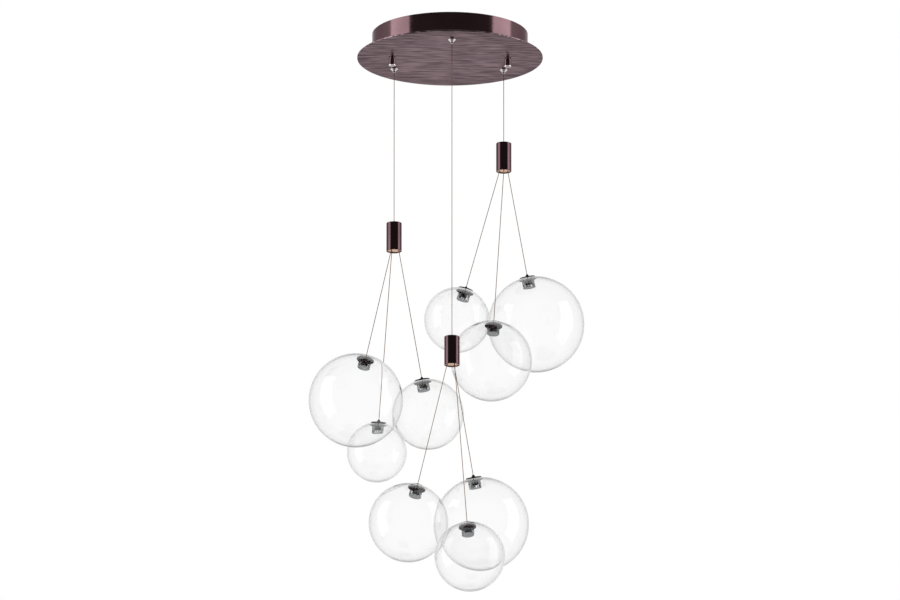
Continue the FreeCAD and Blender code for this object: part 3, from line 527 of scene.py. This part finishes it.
def globe_lens(globe, ribs, face, bore):
    """The lamp's lens: a fluted wall, a plain rim with a groove, a dished lower face and a black bore."""
    node = frame["nodes"][globe.node + "_lens"]
    reach = [(vertex.co - globe.centre).dot(globe.up) for vertex in node.data.vertices]
    foot = min(reach)
    top = max(reach)
    floor = top - LENS_BORE_DEPTH
    outline = [(radius, foot + height) for radius, height in LENS_FOOT]
    outline += [
        (LENS_FLUTE_RADIUS, top - LENS_TOP_ROUNDING), (LENS_TOP_RADIUS, top),
        (LENS_BORE_RADIUS, top), (LENS_BORE_RADIUS, floor), (0, floor),
    ]
    piece = lathed("lens_" + globe.tag, outline, LENS_SEGMENTS, ribs)
    mesh = piece.data
    mesh.materials.append(face)
    mesh.materials.append(bore)
    for vertex in mesh.vertices:
        spread = math.hypot(vertex.co.x, vertex.co.y)
        if vertex.co.z > foot + LENS_FLUTE_FOOT and spread > LENS_RADIUS - 0.001:
            turn = math.atan2(vertex.co.y, vertex.co.x)
            shrink = 1 - LENS_FLUTE_DEPTH / spread * (1 - abs(math.cos(turn * LENS_FLUTES / 2)))
            vertex.co.x *= shrink
            vertex.co.y *= shrink
    lens_map = mesh.uv_layers.new(name="around")
    for polygon in mesh.polygons:
        height = polygon.center.z - foot
        spread = polygon.center.xy.length
        if height < LENS_FACE_HEIGHT or height < LENS_DISH_HEIGHT and spread < LENS_DISH_RADIUS:
            polygon.material_index = 1
        elif polygon.center.z > floor - LENS_MATCH and spread < LENS_BORE_RADIUS + LENS_MATCH:
            polygon.material_index = 2
        middle = math.atan2(polygon.center.y, polygon.center.x) / math.tau
        for corner in polygon.loop_indices:
            place = mesh.vertices[mesh.loops[corner].vertex_index].co
            turn = math.atan2(place.y, place.x) / math.tau if place.xy.length > 1e-6 else middle
            turn += round(middle - turn)
            lens_map.data[corner].uv = (turn, (place.z - foot) / (top - foot))
    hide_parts(globe.node + "_lens")
    return globe.put(piece)


def globe_cable(globe, material):
    """The cable from a globe's cap up to its bead in the hub."""
    node = frame["nodes"][globe.node + "_cable"]
    reach = [(vertex.co - globe.centre).dot(globe.up) for vertex in node.data.vertices]
    start = globe.bead
    end = globe.centre + globe.up * min(reach)
    piece = strand_tube("globe_cord_" + globe.tag, start, end, material)
    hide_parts(globe.node + "_cable")
    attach(piece, globe.node)


# ---------------------------------------------------------------- studio

def build_camera():
    camera = bpy.data.cameras.new("camera")
    camera.sensor_width = SENSOR_WIDTH
    camera.lens = SENSOR_WIDTH * CAMERA_DISTANCE / FRAME_WIDTH
    camera.clip_end = CAMERA_DISTANCE * 4
    holder = bpy.data.objects.new("camera", camera)
    bpy.context.scene.collection.objects.link(holder)
    azimuth = math.radians(CAMERA_AZIMUTH)
    elevation = math.radians(CAMERA_ELEVATION)
    back = Vector((math.sin(azimuth) * math.cos(elevation), -math.cos(azimuth) * math.cos(elevation),
                   math.sin(elevation)))
    holder.location = CAMERA_TARGET + back * CAMERA_DISTANCE
    holder.rotation_mode = "QUATERNION"
    holder.rotation_quaternion = (-back).to_track_quat("-Z", "Y")
    bpy.context.scene.camera = holder


def softbox(name, side):
    """A tall soft light panel that only its reflections and its light show."""
    lamp = bpy.data.lights.new(name, "AREA")
    lamp.shape = "RECTANGLE"
    lamp.size = PANEL_WIDTH
    lamp.size_y = PANEL_HEIGHT
    lamp.energy = PANEL_POWER
    holder = bpy.data.objects.new(name, lamp)
    bpy.context.scene.collection.objects.link(holder)
    place = Vector((side, -PANEL_FRONT, PANEL_LEVEL))
    holder.location = place
    holder.rotation_mode = "QUATERNION"
    holder.rotation_quaternion = (Vector((0, 0, PANEL_LEVEL)) - place).to_track_quat("-Z", "Y")
    holder.visible_camera = False
    holder.visible_transmission = False


def build_lights():
    softbox("left_panel", -PANEL_SIDE)
    softbox("right_panel", PANEL_SIDE)


def build_world():
    """White all round for what is seen straight or through glass, and a studio with a dark front
    for what is reflected."""
    world = bpy.data.worlds.new("studio")
    bpy.context.scene.world = world
    world.use_nodes = True
    tree = world.node_tree
    tree.nodes.clear()
    direction = tree.nodes.new("ShaderNodeTexCoord")
    split = tree.nodes.new("ShaderNodeSeparateXYZ")
    tree.links.new(direction.outputs["Generated"], split.inputs[0])
    front = tree.nodes.new("ShaderNodeMapRange")
    front.interpolation_type = "SMOOTHSTEP"
    front.inputs["From Min"].default_value = STUDIO_TURN[0]
    front.inputs["From Max"].default_value = STUDIO_TURN[1]
    tree.links.new(split.outputs["Y"], front.inputs["Value"])
    mix = tree.nodes.new("ShaderNodeMix")
    mix.data_type = "RGBA"
    mix.inputs["A"].default_value = (*STUDIO_FRONT, 1)
    mix.inputs["B"].default_value = (*STUDIO_BACK, 1)
    tree.links.new(front.outputs["Result"], mix.inputs["Factor"])
    reflected = tree.nodes.new("ShaderNodeBackground")
    tree.links.new(mix.outputs["Result"], reflected.inputs["Color"])
    plain = tree.nodes.new("ShaderNodeBackground")
    plain.inputs["Color"].default_value = (1, 1, 1, 1)
    path = tree.nodes.new("ShaderNodeLightPath")
    mirrored = tree.nodes.new("ShaderNodeMath")
    mirrored.operation = "SUBTRACT"
    mirrored.use_clamp = True
    tree.links.new(path.outputs["Is Glossy Ray"], mirrored.inputs[0])
    tree.links.new(path.outputs["Is Transmission Ray"], mirrored.inputs[1])
    choice = tree.nodes.new("ShaderNodeMixShader")
    tree.links.new(mirrored.outputs[0], choice.inputs[0])
    tree.links.new(plain.outputs[0], choice.inputs[1])
    tree.links.new(reflected.outputs[0], choice.inputs[2])
    output = tree.nodes.new("ShaderNodeOutputWorld")
    tree.links.new(choice.outputs[0], output.inputs["Surface"])


def build_floor():
    """A pale floor far below the light."""
    half = FLOOR_WIDTH / 2
    look = Shading("floor_pale", Roughness=0.9)
    grain = look.noise(look.place(), scale=0.5, detail=2)
    look.feed("Base Color", look.ramp(grain, (0.3, 0.86), (0.7, 0.88)))
    white = look.add("Emission", Strength=1.0)
    path = look.add("LightPath").outputs
    seen = look.maths("MAXIMUM", path["Is Camera Ray"], path["Is Transmission Ray"])
    mix = look.add("MixShader", i0=seen, i1=look.shader.outputs[0], i2=white.outputs[0])
    look.tree.links.new(mix.outputs[0], look.tree.nodes["Material Output"].inputs["Surface"])
    corners = [(-half, -half, FLOOR_HEIGHT), (half, -half, FLOOR_HEIGHT),
               (half, half, FLOOR_HEIGHT), (-half, half, FLOOR_HEIGHT)]
    floor = mesh_piece("floor", corners, [(0, 1, 2, 3)], look.material)
    floor.visible_glossy = False


# ---------------------------------------------------------------- the whole light

def dress():
    drum = turned_metal("drum_polished_bronze", BRONZE, BRONZE_EDGE, 0.13, 700, 0.00004)
    # The hub's darker bronze is painted shade on the drum's metal.
    hub = turned_metal("hub_polished_bronze_painted_shade", HUB_SHADED_BRONZE, BRONZE_EDGE, 0.11, 1800, 0.00002)
    nickel = turned_metal("nut_and_grip_nickel", NICKEL, NICKEL_EDGE, 0.07, 2400, 0.00001)
    zinc = zinc_plate()
    copper = cable_copper()
    paint("canopy_plate", brushed_plate())
    paint("canopy_drum", drum)
    paint("cap_nuts", nickel)
    paint("cable_grips", nickel)
    for node in ("canopy_nuts", "ceiling_bracket", "mounting_studs"):
        paint(node, zinc)
    paint("led_driver", white_plastic("driver_white_plastic", (0.80, 0.80, 0.78)).material)
    paint("terminal_block", terminal_plastic().material)
    base = satin_copper()
    for cluster in CLUSTERS:
        paint("grip_ball_" + cluster, zinc)
        paint("hub_gland_" + cluster, hub)
        paint("hub_sleeve_" + cluster, hub)
        paint("hub_base_" + cluster, base)
        main_cable(cluster, copper)
    glass = clear_glass()
    black = black_powder()
    ribs = lens_ribs()
    face = lens_face()
    for tag in GLOBE_TAGS:
        globe = Globe(tag)
        paint(globe.node + "_cap", black)
        globe_glass(globe, glass)
        globe_lens(globe, ribs, face, black)
        globe_cable(globe, copper)


bpy.context.scene.view_settings.view_transform = "Standard"
build_camera()
dress()
build_floor()
build_world()
build_lights()
